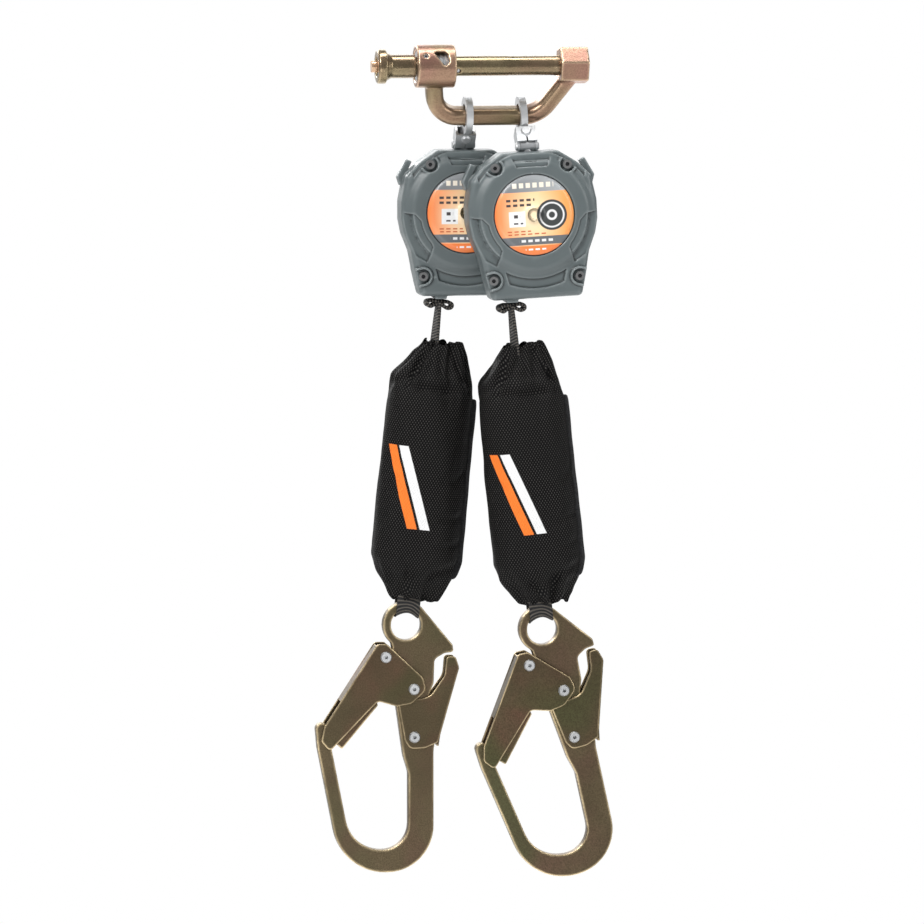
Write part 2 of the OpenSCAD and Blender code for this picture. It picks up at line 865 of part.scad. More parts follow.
module hook_gate(side) {
    spine = [[-25.4, -20.6], [-73.4, -91.6], [-71.8, -92.8], [-23.8, -21.8]];
    tongue = rounded([[-30, -60, 1], [-24.4, -68, 1.5], [-56, -105.4, 1], [-61, -100.6, 1]], 3);
    color("#84764f")
        hook_frame(side)
            difference() {
                union() {
                    plate(gate_shape, -gate_out, -gate_in);
                    plate(gate_shape, gate_in, gate_out);
                    plate([[-25.6, -17], [-57.4, -64], [-54.9, -65.6], [-23.1, -18.8]],
                        -gate_in - 0.5, gate_in + 0.5);
                    plate(tongue, -gate_in - 0.5, gate_in + 0.5);
                }
                translate([gate_pivot[0], 0, gate_pivot[1]])
                    rod_y(rivet_r + run, -gate_out - 1, gate_out + 1);
                translate([gate_pin[0], 0, gate_pin[1]])
                    rod_y(rivet_r + run, -gate_out - 1, gate_out + 1);
            }
}

module hook_lever(side) {
    cheek = rounded([
        [-7.4, -66, 2], [-1.6, -99, 6], [3, -106.5, 6], [16, -106, 6], [27, -101.5, 3],
        [45.6, -37, 3], [42.5, -27.5, 3], [34.5, -27.5, 3], [33, -44, 12], [20, -62, 10]
    ], 5);
    spine = [[45.8, -38], [29.6, -94.6], [28, -104.8], [26, -104.4], [27.6, -94.2], [43.9, -37.4]];
    color("#7d7049")
        hook_frame(side)
            difference() {
                union() {
                    plate(cheek, -lever_out, -lever_in);
                    plate(cheek, lever_in, lever_out);
                    plate(spine, -lever_in - 0.5, lever_in + 0.5);
                }
                for (p = [gate_pivot])
                    translate([p[0], 0, p[1]]) rod_y(rivet_r + 1.6, -lever_out - 1, lever_out + 1);
                translate([lever_pivot[0], 0, lever_pivot[1]])
                    rod_y(rivet_r + run, -lever_out - 1, lever_out + 1);
            }
}

module hook_springs(side) {
    color("#a5a5a0")
        hook_frame(side)
            for (p = [gate_pivot, lever_pivot])
                translate([p[0], hook_t / 2 - 3.2, p[1]])
                    rotate([-90, 0, 0])
                        coil(4.9, 0.9, 2.4, 2);
}

// ---------- the assembly ----------

connector_frame();
connector_pin();
pin_button();
pin_balls();
pin_spring();
collar_sleeve();
collar_screw();
for (side = ["left", "right"]) {
    eye(side);
    swivel_pins(side);
    stirrup(side);
    swivel_post(side);
    load_frame(side);
    front_cover(side);
    rear_cover(side);
    cover_screws(side);
    drum(side);
    drum_shaft(side);
    wound_web(side);
    power_spring(side);
    ratchet_ring(side);
    pawl(side, 0);
    pawl(side, 180);
    lead_web(side);
    web_stop(side);
    lanyard_web(side);
    shock_pack(side);
    pack_cover(side);
    hook_body(side);
    hook_gate(side);
    gate_rivet(side);
    hook_lever(side);
    hook_rivets(side);
    hook_springs(side);
}
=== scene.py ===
"""Looks for a twin-leg self retracting lifeline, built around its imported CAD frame.

Lengths in the shape functions are millimetres in a part's own frame. placed() turns them into metres
in the shared frame.
"""

import json
import math

import bpy
import numpy as np
from mathutils import Matrix, Vector, noise

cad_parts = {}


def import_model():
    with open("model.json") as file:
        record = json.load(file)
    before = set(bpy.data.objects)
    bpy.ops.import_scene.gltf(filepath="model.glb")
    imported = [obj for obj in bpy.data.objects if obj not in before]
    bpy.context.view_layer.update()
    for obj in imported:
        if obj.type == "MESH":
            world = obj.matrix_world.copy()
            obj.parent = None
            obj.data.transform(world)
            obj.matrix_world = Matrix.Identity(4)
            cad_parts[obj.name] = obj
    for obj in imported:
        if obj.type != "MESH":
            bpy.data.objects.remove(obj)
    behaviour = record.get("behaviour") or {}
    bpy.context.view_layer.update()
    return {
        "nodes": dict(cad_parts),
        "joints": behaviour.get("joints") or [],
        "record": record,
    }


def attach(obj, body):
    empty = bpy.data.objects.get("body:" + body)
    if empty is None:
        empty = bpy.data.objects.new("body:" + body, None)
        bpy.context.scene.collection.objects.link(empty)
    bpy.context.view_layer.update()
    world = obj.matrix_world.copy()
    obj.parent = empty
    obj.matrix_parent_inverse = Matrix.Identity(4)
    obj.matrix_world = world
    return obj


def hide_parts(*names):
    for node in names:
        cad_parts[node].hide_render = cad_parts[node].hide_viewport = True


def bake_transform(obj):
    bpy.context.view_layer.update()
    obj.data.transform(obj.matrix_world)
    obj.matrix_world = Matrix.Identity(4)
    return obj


MM = 0.001
SIDES = ("left", "right")
# The floor's height, in metres
FLOOR_Z = -2.65

# Housing, from the drum's centre; a face's distance is from the parting plane
HOUSING_HALF = 19.0
BODY_FACE = 15.0
BODY_DRAFT = 0.02
FACE_R = 46.0
CHAMFER = 1.55
LABEL_R = 35.0
LABEL_DEPTH = 0.8
LABEL_THICK = 0.2
WALL = 2.4
# Room for the load frame inside, and the pocket floors that must stay above it
FRAME_R = 44.6
FRAME_FACE = 16.4
FRAME_TOP = 43.6
BRIDGE_HALF = 14.4
POCKET_OVER_FRAME = 17.9
SIDE_POCKET_FLOOR = 13.9
BOTTOM_POCKET_FLOOR = 12.9
OUTLINE = [
    (25, 52), (41, 41.5), (51.5, 31), (55.5, 10), (55.5, -6),
    (53, -18), (46.5, -34), (43, -52), (38.5, -71.5),
]
# Cover screws: place, and the direction in which each one's pocket runs out to the edge
SCREWS = [(31, 41, 0.75, 0.66), (37, -54, 0.97, -0.25)]
SCREW_POCKET_R = 6.2
SCREW_POCKET_FLOOR = 13.6
SCREW_BOSS_R = 8.3
SCREW_BOSS_FACE = 17.3
SCREW_RUN_OUT = 14
OUTLET_X = -21.0
OUTLET_Z = -73.7
MOUTH_TOP = -60
LIP_Z = -71.5
LIP_HALF = 2.2
POST_HOLE_R = 4.3
POST_HOLE_FOOT = 40

# Line, from the webbing outlet, and hook, from the centre of its eye
HOOK_DROP = 280.0
WEB_W = 17.0
PACK_TOP = -36.0
PACK_LEN = 222.0
TOP_GATHER = 46
LOW_GATHER = 36
RUMPLE_LEN = 45
STRIPE_SLOPE = 0.36
STRIPE_WIDTH = 8.5
STRIPE_TOP = -90
STRIPE_FOOT = -160


# ---------- frames and meshes ----------


def joint(frame, name):
    """The record's joint of that name."""
    return next(j for j in frame["joints"] if j["name"] == name)


def axes_frame(origin, up, across=(0, 1, 0)):
    """A frame in millimetres at a point in metres: Z along up, Y as near across as it can be."""
    z = Vector(up).normalized()
    x = Vector(across).cross(z).normalized()
    y = z.cross(x)
    turn = Matrix((x, y, z)).transposed().to_4x4()
    return Matrix.Translation(Vector(origin)) @ turn @ Matrix.Scale(MM, 4)


def housing_frame(frame, side):
    spin = joint(frame, f"{side}_drum_spin")
    return axes_frame(spin["pos_m"], joint(frame, f"{side}_housing_swivel")["axis"])


def line_frame(frame, side):
    up = -Vector(joint(frame, f"{side}_line_payout")["axis"])
    eye = Vector(joint(frame, f"{side}_hook_swing")["pos_m"])
    return axes_frame(eye + up * HOOK_DROP * MM, up)


def placed(name, points, faces, matrix):
    """A smooth mesh object from points in a part's own frame."""
    mesh = bpy.data.meshes.new(name)
    points = np.asarray(points, float)
    mesh.from_pydata([matrix @ Vector(p) for p in points], [], [tuple(int(i) for i in f) for f in faces])
    mesh.update()
    obj = bpy.data.objects.new(name, mesh)
    bpy.context.scene.collection.objects.link(obj)
    shade(obj)
    return obj


def shade(obj):
    obj.data.polygons.foreach_set("use_smooth", [True] * len(obj.data.polygons))


def baked(obj):
    """Applies an object's modifiers to its mesh."""
    bpy.context.view_layer.update()
    shaped = obj.evaluated_get(bpy.context.evaluated_depsgraph_get())
    mesh = bpy.data.meshes.new_from_object(shaped)
    obj.modifiers.clear()
    obj.data = mesh
    obj.data.name = obj.name
    return obj


def modifier(obj, kind, **values):
    made = obj.modifiers.new(kind.lower(), kind)
    for key, value in values.items():
        setattr(made, key, value)
    return made


def forged(frame, node, name, voxel, rounds, keep=0.35):
    """A copy of a CAD node with its edges rounded, as forging or tumbling leaves them."""
    obj = bpy.data.objects.new(name, frame["nodes"][node].data.copy())
    bpy.context.scene.collection.objects.link(obj)
    modifier(obj, "REMESH", mode="VOXEL", voxel_size=voxel * MM * 1)
    modifier(obj, "SMOOTH", factor=0.5, iterations=rounds)
    modifier(obj, "DECIMATE", ratio=keep)
    baked(obj)
    shade(obj)
    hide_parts(node)
    return obj


# ---------- signed distances ----------


def smooth_max(a, b, k):
    """The larger of two distances, rounded over k millimetres: an intersection with a soft edge."""
    h = np.maximum(k - np.abs(a - b), 0) / k
    return np.maximum(a, b) + h * h * k / 4


def smooth_min(a, b, k):
    return -smooth_max(-a, -b, k)


def polygon_distance(x, z, corners):
    """Signed distance to a closed outline, negative inside."""
    best = np.full(np.broadcast(x, z).shape, 1e9)
    inside = np.zeros(best.shape, bool)
    for (x0, z0), (x1, z1) in zip(corners, corners[1:] + corners[:1]):
        ex, ez = x1 - x0, z1 - z0
        t = np.clip(((x - x0) * ex + (z - z0) * ez) / (ex * ex + ez * ez), 0, 1)
        best = np.minimum(best, np.hypot(x - x0 - t * ex, z - z0 - t * ez))
        if z0 != z1:
            inside ^= ((z0 > z) != (z1 > z)) & (x < ex * (z - z0) / ez + x0)
    return np.where(inside, -best, best)


def slot_distance(x, z, spot, along, length):
    """Distance to a segment that starts at spot and runs along a direction."""
    t = np.clip((x - spot[0]) * along[0] + (z - spot[1]) * along[1], 0, length)
    return np.hypot(x - spot[0] - t * along[0], z - spot[1] - t * along[1])


def surface_net(field, low, step):
    """Points and quads on the zero level of a grid of distances, one point in each cell that it crosses."""
    inside = field < 0
    n = [s - 1 for s in field.shape]
    offsets = [(i, j, k) for i in (0, 1) for j in (0, 1) for k in (0, 1)]
    count = np.zeros(n, np.int8)
    for i, j, k in offsets:
        count += inside[i : i + n[0], j : j + n[1], k : k + n[2]]
    cells = np.argwhere((count > 0) & (count < 8))
    index = np.full(n, -1, np.int64)
    index[tuple(cells.T)] = np.arange(len(cells))
    total = np.zeros((len(cells), 3))
    hits = np.zeros(len(cells))
    for a in offsets:
        for axis in range(3):
            if a[axis]:
                continue
            b = tuple(1 if i == axis else a[i] for i in range(3))
            fa, fb = field[tuple((cells + a).T)], field[tuple((cells + b).T)]
            cross = (fa < 0) != (fb < 0)
            share = fa[cross] / (fa[cross] - fb[cross])
            point = np.tile(np.array(a, float), (cross.sum(), 1))
            point[:, axis] += share
            total[cross] += point
            hits += cross
    points = (cells + total / hits[:, None]) * step + low
    quads = []
    for axis in range(3):
        u, v = (axis + 1) % 3, (axis + 2) % 3
        first = [slice(None)] * 3
        second = [slice(None)] * 3
        first[axis], second[axis] = slice(0, -1), slice(1, None)
        starts = inside[tuple(first)]
        p = np.argwhere(starts != inside[tuple(second)])
        p = p[(p[:, u] > 0) & (p[:, v] > 0) & (p[:, u] < n[u]) & (p[:, v] < n[v])]
        du, dv = np.eye(3, dtype=int)[u], np.eye(3, dtype=int)[v]
        quad = np.stack([index[tuple(q.T)] for q in (p, p - du, p - du - dv, p - dv)], 1)
        outward = starts[tuple(p.T)]
        quads.append(np.where(outward[:, None], quad, quad[:, ::-1]))
    return points, np.concatenate(quads)


# ---------- housing covers ----------


def cover_plan(x, z):
    """Distance to the housing's outline, with its corners rounded."""
    round_over, inset_x, inset_z = 4.3, 0.921, 0.936
    corners = [(px * inset_x, pz * inset_z) for px, pz in OUTLINE]
    corners += [(-px, pz) for px, pz in reversed(corners)]
    return polygon_distance(x, z, corners) - round_over


def top_pocket(x, z):
    """Distance to the trapezoid that is open towards the post."""
    return polygon_distance(x, z, [(-13, 40.5), (13, 40.5), (18.5, 53), (18, 70), (-18, 70), (-18.5, 53)])


def side_pocket(x, z):
    """Distance to the notch in the face ring below its middle, for both sides at once."""
    inner = [(40.3 * math.cos(a), -40.3 * math.sin(a)) for a in np.radians(np.linspace(10, 40, 6))]
    corners = [(53.5, -0.5), (44.6, -1.8)] + inner + [(29.6, -29), (33.6, -41), (42, -36), (51, -17)]
    return polygon_distance(np.abs(x), z, corners) - 0.6


def bottom_pocket(x, z, r):
    """Distance to the shallow tray under the face ring."""
    return np.maximum(np.maximum(54.2 - r, r - 62.3), (np.abs(x) - 24 - 0.25 * (z + 55)) * 0.97)


def screw_slots(x, z):
    """Distance to the middle line of each screw's run-out, left and right."""
    places = [(sx, sz, ax, az, flip) for sx, sz, ax, az in SCREWS for flip in (-1, 1)]
    return [slot_distance(x * flip, z, (sx, sz), (ax, az), SCREW_RUN_OUT) for sx, sz, ax, az, flip in places]


def lug_distance(x, depth, z):
    """Distance to the flat lug high on the side of a rear cover."""
    outline = polygon_distance(x, z, [(44, 43), (49, 45), (57, 30), (54.5, 22), (50, 30)])
    return smooth_max(outline, np.abs(depth - 5) - 4, 1.0)


def room_inside(x, depth, z, r):
    """Distance to the room that the load frame and the bridge above it need."""
    below_face = depth - FRAME_FACE - 0.2
    frame_room = np.maximum(r - FRAME_R - 0.4, below_face)
    bridge_room = np.maximum(np.maximum(np.abs(x) - BRIDGE_HALF, z - FRAME_TOP - 0.4), below_face)
    return np.minimum(frame_room, np.maximum(bridge_room, -z))


def outlet_block(x, depth, height, half, spare):
    """Distance to a block round the webbing's way out, between the heights where height is negative."""
    return np.maximum(np.maximum(np.abs(x - OUTLET_X) - half, depth - WEB_W / 2 - spare), height)


def cover_distance(x, depth, z, front):
    """Distance to one cover, as a shell; depth runs from the parting plane out to the face."""
    r = np.hypot(x, z)
    plan = cover_plan(x, z) + BODY_DRAFT * depth
    body = smooth_max(plan, depth - BODY_FACE, 5.0)
    slope = math.hypot(1, CHAMFER)
    ring = (r + CHAMFER * (depth - HOUSING_HALF) - FACE_R) / slope
    ring = smooth_max(ring, depth - HOUSING_HALF, 1.2)
    ring = smooth_max(ring, plan + 0.6, 1.5)
    solid = smooth_min(body, ring, 1.2)
    slots = screw_slots(x, z)
    for slot in slots:
        boss = smooth_max(smooth_max(slot - SCREW_BOSS_R, depth - SCREW_BOSS_FACE, 1.6), plan + 0.4, 1.2)
        solid = smooth_min(solid, boss, 1.0)
    cuts = [smooth_max(slot - SCREW_POCKET_R, SCREW_POCKET_FLOOR - depth, 1.5) for slot in slots]
    top_floor = np.interp(z, [FRAME_TOP + 1, FRAME_TOP + 2.4], [POCKET_OVER_FRAME, BODY_FACE + 0.3])
    side_floor = np.interp(r, [FRAME_R + 1.2, FRAME_R + 3], [POCKET_OVER_FRAME, SIDE_POCKET_FLOOR])
    cuts.append(smooth_max(top_pocket(x, z), top_floor - depth, 0.4))
    cuts.append(smooth_max(side_pocket(x, z), side_floor - depth, 0.5))
    cuts.append(smooth_max(bottom_pocket(x, z, r), BOTTOM_POCKET_FLOOR - depth, 1.4))
    for cut in cuts:
        solid = smooth_max(solid, -cut, 0.9)
    if front:
        recess = np.maximum(r - LABEL_R, HOUSING_HALF - LABEL_DEPTH - depth)
        solid = smooth_max(solid, -recess, 0.25)
    else:
        for flip in (-1, 1):
            solid = smooth_min(solid, lug_distance(x * flip, depth, z), 0.8)
    shell = np.maximum(solid, -(solid + WALL))
    shell = np.maximum(shell, -room_inside(x, depth, z, r))
    lip_height = np.abs(z - LIP_Z) - LIP_HALF
    shell = smooth_min(shell, outlet_block(x, depth, lip_height, 5, 3), 1.0)
    post = np.maximum(np.hypot(x, depth) - POST_HOLE_R, POST_HOLE_FOOT - z)
    mouth = outlet_block(x, depth, z - MOUTH_TOP, 2.8, 0.8)
    shell = np.maximum(np.maximum(shell, -post), -mouth)
    return smooth_max(shell, 0.25 - depth, 0.5)


def cover_mesh(front):
    """Points and faces of one cover in the drum's frame."""
    step = 0.75
    low = np.array([-60.0, -1.5, -76.0])
    high = np.array([60.0, 21.0, 55.0])
    x, depth, z = (np.arange(a, b, step) for a, b in zip(low, high))
    field = cover_distance(x[:, None, None], depth[None, :, None], z[None, None, :], front)
    points, quads = surface_net(field, low, step)
    if front:
        points[:, 1] *= -1
        quads = quads[:, ::-1]
    return points, quads


def add_covers(frame, looks):
    for front, part in ((True, "front_cover"), (False, "rear_cover")):
        points, quads = cover_mesh(front)
        for side in SIDES:
            shell = placed(f"{part}_shell_{side}", points, quads, housing_frame(frame, side))
            modifier(shell, "DECIMATE", ratio=0.55)
            baked(shell)
            shade(shell)
            shell.data.materials.append(looks["housing"])
            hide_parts(f"{part}_{side}")
            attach(shell, f"{side}_housing")


# ---------- labels ----------


def add_labels(frame, looks):
    """A printed disc in each round recess."""
    rings, spokes = 6, 96
    radius = LABEL_R - 0.35
    y = -(HOUSING_HALF - LABEL_DEPTH) - 0.25
    points = [(0, y, 0)]
    for i in range(1, rings + 1):
        r = radius * i / rings
        for j in range(spokes):
            a = 2 * math.pi * j / spokes
            points.append((r * math.cos(a), y, r * math.sin(a)))
    faces = [(0, 1 + (j + 1) % spokes, 1 + j)[::-1] for j in range(spokes)]
    for i in range(rings - 1):
        for j in range(spokes):
            a, b = 1 + i * spokes + j, 1 + i * spokes + (j + 1) % spokes
            faces.append((a, b, b + spokes, a + spokes))
    for side in SIDES:
        matrix = housing_frame(frame, side)
        disc = placed(f"label_{side}", points, faces, matrix)
        layer = disc.data.uv_layers.new(name="face")
        for loop in disc.data.loops:
            p = points[loop.vertex_index]
            layer.data[loop.index].uv = (p[0] / LABEL_R, p[2] / LABEL_R)
        modifier(disc, "SOLIDIFY", thickness=LABEL_THICK * MM, offset=-1)
        baked(disc)
        disc.data.materials.append(looks["label"])
        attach(disc, f"{side}_housing")


# ---------- webbing ----------


def strip(name, rows, matrix, thick, ribs=0.0):
    """A band through rows of (centre, direction across, half width), with rounded edges and ribs."""
    section = [(-1, 0), (-0.97, 0.6), (-0.85, 1), (-0.4, 1), (0, 1), (0.4, 1), (0.85, 1), (0.97, 0.6)]
    section += [(-a, -b) for a, b in section]
    points, faces, sides = [], [], len(section)
    for i, (centre, across, half) in enumerate(rows):
        c, u = Vector(centre), Vector(across).normalized()
        after = Vector(rows[min(i + 1, len(rows) - 1)][0])
        before = Vector(rows[max(i - 1, 0)][0])
        n = (after - before).normalized().cross(u).normalized()
        swell = 1 + ribs * (1 if i % 2 else -1)
        points += [tuple(c + u * half * a + n * thick / 2 * b * swell) for a, b in section]
    for i in range(len(rows) - 1):
        for j in range(sides):
            a, b = i * sides + j, i * sides + (j + 1) % sides
            faces.append((a, b, b + sides, a + sides))
    faces.append(tuple(range(sides))[::-1])
    last = (len(rows) - 1) * sides
    faces.append(tuple(last + j for j in range(sides)))
    obj = placed(name, points, faces, matrix)
    mesh = obj.data
    layer = mesh.uv_layers.new(name="face")
    length = [0.0]
    for i in range(1, len(rows)):
        length.append(length[-1] + (Vector(rows[i][0]) - Vector(rows[i - 1][0])).length)
    for loop in mesh.loops:
        i, j = divmod(loop.vertex_index, sides)
        layer.data[loop.index].uv = (section[j][0] * rows[i][2], length[i])
    return obj


def smooth_path(corners, count, closed=False):
    """Points evenly spread along a Catmull-Rom curve through the corners."""
    p = [Vector(c) for c in corners]
    spans = len(p) if closed else len(p) - 1
    pick = (lambda i: p[i % len(p)]) if closed else (lambda i: p[min(max(i, 0), len(p) - 1)])
    dense = []
    for s in range(spans):
        a, b, c, d = (pick(s + k) for k in (-1, 0, 1, 2))
        for k in range(20):
            t = k / 20
            square, cube = 2 * a - 5 * b + 4 * c - d, 3 * b - a - 3 * c + d
            dense.append(0.5 * (2 * b + (c - a) * t + square * t**2 + cube * t**3))
    dense.append(pick(spans))
    walk = np.concatenate([[0], np.cumsum([(q - o).length for o, q in zip(dense, dense[1:])])])
    spots = np.linspace(0, walk[-1], count)
    return [Vector([np.interp(s, walk, [q[i] for q in dense]) for i in range(3)]) for s in spots]


def finish_web(obj, looks, side, body, subdivide=1):
    if subdivide:
        modifier(obj, "SUBSURF", levels=subdivide, render_levels=subdivide)
        baked(obj)
    shade(obj)
    obj.data.materials.append(looks["webbing"])
    if body:
        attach(obj, f"{side}_{body}")
    return obj


def add_lead(frame, looks, side):
    """Webbing from the drum to the outlet."""
    matrix = housing_frame(frame, side)
    top, outlet = Vector((-31.5, 0, -4.8)), Vector((OUTLET_X, 0, OUTLET_Z))
    bend = 0.93
    shares = list(np.linspace(0, bend, 12)) + list(np.linspace(bend, 1, 32))[1:]
    rows = [(top.lerp(outlet, t), (0, 1, 0), WEB_W / 2) for t in shares]
    lead = strip(f"lead_strip_{side}", rows, matrix, 1.4)
    finish_web(lead, looks, side, None, 0)
    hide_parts(f"lead_web_{side}")
    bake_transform(lead)


def add_bow(frame, looks, side):
    """The doubled webbing tied off under the outlet, which stops the line from running in."""
    right = [(2.5, 0, -2.0), (7, 0, -2.0), (10.4, 0, -3.2), (10.8, 0, -5.8)]
    right += [(8, 0, -7.4), (4.8, 0, -6.0), (1.8, 0, -4.4)]
    left = [(-x * 0.97, 0, z * 0.9 - 0.1) for x, _, z in reversed(right)]
    path = smooth_path(right + left, 90, closed=True)
    rows = []
    for i, p in enumerate(path):
        wave = 0.7 * math.sin(i * 0.5) + 0.5 * math.sin(i * 0.23 + 1)
        sway = Vector((0, 0.4 * math.sin(i * 0.31), 0))
        rows.append((p + sway, (0, 1, 0.02 * math.sin(i * 0.7)), 7.6 + 0.4 * wave))
    bow = strip(f"web_bow_{side}", rows, line_frame(frame, side), 3.1, 0.08)
    finish_web(bow, looks, side, "line")
    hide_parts(f"web_stop_{side}")


def add_lanyard(frame, looks, side):
    """The exposed webbing above the pack, which turns a little from edge-on towards the front."""
    matrix = line_frame(frame, side)
    top, bottom, rib = -2.5, PACK_TOP - 12, 1.25
    count = int((top - bottom) / rib)
    rows = []
    for i in range(count + 1):
        share = i / count
        angle = -math.radians(1 + 11 * min(1, share * 1.25) ** 0.8)
        across = (-math.sin(angle), -math.cos(angle), 0.12)
        rows.append(((0, 0, top + (bottom - top) * share), across, WEB_W / 2))
    upper = strip(f"lanyard_strip_{side}", rows, matrix, 2.9, 0.16)
    finish_web(upper, looks, side, "line")
    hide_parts(f"lanyard_web_{side}")


def add_hook_loop(looks, side, matrix):
    """The loop through the hook's eye, bent down at its edges to follow the round hole."""
    half, bend_r = 10.1, 12.4
    reach = [(0, 4.2, 34), (0, 6.4, 24), (0, 7.0, 17), (0, 6.5, 13), (0, 3.4, 11.3), (0, 0, 11.1)]
    reach += [(0, -y, z) for _, y, z in reversed(reach[:-1])]
    rows = [(p + Vector((0, 0, -HOOK_DROP)), (1, 0, 0), half) for p in smooth_path(reach, 64)]
    loop = strip(f"hook_loop_{side}", rows, matrix, 1.7, 0.1)
    inverse = matrix.inverted()
    for v in loop.data.vertices:
        p = inverse @ v.co
        low = max(0.0, min(1.0, (24 - (p.z + HOOK_DROP)) / 8))
        drop = bend_r - math.sqrt(max(bend_r**2 - p.x**2, 25))
        p.z -= drop * low
        p.z += 0.3 * math.sin(p.x * 2.1) * low
        v.co = matrix @ p
    finish_web(loop, looks, side, "line")


# ---------- shock pack covers ----------

# Down from the rim: distance, left and right edges, half depth
PACK_PROFILE = [
    (0, -9, 23, 8.5), (6, -12.5, 25, 10), (16, -21, 29, 14), (31, -33.5, 34, 19.5), (38, -34.4, 36.5, 21.5),
    (60, -34.4, 37, 22.6), (110, -34.6, 37.4, 22.8), (160, -34.8, 38, 22.6), (187, -34.6, 38.4, 21.5),
    (199, -30, 35.5, 18.5), (210, -22, 29.5, 13.5), (217, -17, 24.5, 10), (222, -14, 21.5, 8.5),
]

# Folds on a cover's front: centre from the rim, direction, length, width, depth; a negative depth stands out
PACK_DENTS = [
    ((26, -150), (1, 0.22), 15, 3.2, 2.4), ((22, -196), (1, 0.5), 13, 2.8, 3.6),
    ((-4, -200), (0.3, 1), 12, 3, 3.2), ((-20, -203), (-0.5, 1), 11, 2.6, 3.0),
    ((12, -207), (0.25, 1), 10, 2.4, 3.4), ((-14, -20), (0.42, 1), 17, 2.2, 4.4),
    ((5, -20), (-0.15, 1), 12, 2.0, 3.4), ((20, -18), (-0.5, 1), 14, 2.2, 3.8),
    ((2, -40), (1, -0.05), 27, 2.4, 4.0), ((-25, -33), (1, 0.5), 10, 2.2, 2.6),
    ((29, -33), (1, -0.7), 10, 2.2, 2.8), ((30, -172), (1, 0.35), 12, 2.4, 1.9),
    ((18, -120), (1, 0.5), 16, 4, 0.9), ((2, -33), (1, -0.05), 22, 3.4, -2.4),
    ((-1, -211), (1, 0), 7, 6, -4.5),
]


def pack_at(s):
    """Left edge, right edge and half depth of a pack cover at a distance below its rim."""
    rows = np.array(PACK_PROFILE)
    return [float(np.interp(s, rows[:, 0], rows[:, k])) for k in (1, 2, 3)]


def pack_tube(seed):
    """Points, faces and printed coordinates of a stuffed tube, gathered by a cord at each end."""
    around, step = 112, 2.6
    fine_to, fine_from = 44, 183
    levels = list(np.linspace(0, fine_to, 20))
    levels += list(np.arange(fine_to + step, fine_from - 1, step))
    levels += list(np.linspace(fine_from, PACK_LEN, 18))
    inner = [(7, 0.55), (3.5, 0.8), (1.2, 0.94)]
    rings = inner + [(s, 1.0) for s in levels] + [(PACK_LEN - s, k) for s, k in reversed(inner)]
    points, printed = [], []
    for s, scale in rings:
        left, right, half = pack_at(s)
        middle, reach = (left + right) / 2, (right - left) / 2
        top_pull = max(0.0, 1 - s / TOP_GATHER)
        low_pull = max(0.0, 1 - (PACK_LEN - s) / LOW_GATHER)
        box = 0.62 + 0.3 * max(top_pull, low_pull)
        for j in range(around):
            a = 2 * math.pi * j / around + math.pi / 2
            c, d = math.cos(a), math.sin(a)
            fold = math.cos(8 * a + 1.3 * math.sin(2 * a + seed) + 0.05 * s)
            fold += 0.45 * math.cos(13 * a + seed + 0.8 * math.sin(3 * a))
            fold = fold - 0.5 * abs(fold)
            nip = math.cos(8 * a + 1.6 * math.sin(2 * a + 2 * seed)) + 0.5 * math.cos(13 * a + seed)
            depth = 1 + 0.15 * top_pull**0.8 * fold + 0.17 * low_pull**1.1 * nip
            x = middle + reach * math.copysign(abs(c) ** box, c) * depth * scale
            y = half * math.copysign(abs(d) ** box, d) * depth * scale
            lift = (2.6 * math.sin(5 * a + seed) + 1.8 * math.sin(9 * a + 1)) * (top_pull**6 - low_pull**6)
            points.append((x, y, PACK_TOP - s + lift * 0.55))
        ring = np.array(points[-around:] + points[-around:][:1])
        arc = np.concatenate([[0], np.cumsum(np.linalg.norm(np.diff(ring[:, :2], axis=0), axis=1))])
        printed.append((arc - arc[around // 2], -s))
    quads = []
    for i in range(len(rings) - 1):
        for j in range(around):
            k = (j + 1) % around
            quads.append((i * around + j, i * around + k, (i + 1) * around + k, (i + 1) * around + j))
    for base, flip in ((0, False), ((len(rings) - 1) * around, True)):
        cap = [base + j for j in range(around)]
        quads.append(tuple(cap if flip else cap[::-1]))
    quads = [q[::-1] for q in quads]
    return points, quads, printed, around


def inflate(obj, frames, cap):
    """Cloth with pressure, gravity off and both gathered ends held, with each point's travel capped."""
    scene = bpy.context.scene
    before = np.array([v.co for v in obj.data.vertices])
    cloth = obj.modifiers.new("cloth", "CLOTH")
    cloth.settings.quality = 6
    cloth.settings.mass = 0.25
    cloth.settings.tension_stiffness = 12
    cloth.settings.compression_stiffness = 3
    cloth.settings.shear_stiffness = 3
    cloth.settings.bending_stiffness = 0.15
    cloth.settings.use_pressure = True
    cloth.settings.uniform_pressure_force = 3.5
    cloth.settings.effector_weights.gravity = 0
    cloth.settings.vertex_group_mass = "held"
    cloth.collision_settings.use_collision = False
    cloth.point_cache.frame_start, cloth.point_cache.frame_end = 1, frames
    for f in range(1, frames + 1):
        scene.frame_set(f)
    baked(obj)
    scene.frame_set(1)
    after = np.array([v.co for v in obj.data.vertices])
    move = after - before
    far = np.linalg.norm(move, axis=1, keepdims=True)
    after = before + move * np.minimum(1, cap / np.maximum(far, 1e-9))
    obj.data.vertices.foreach_set("co", after.astype(np.float32).ravel())
    obj.data.update()


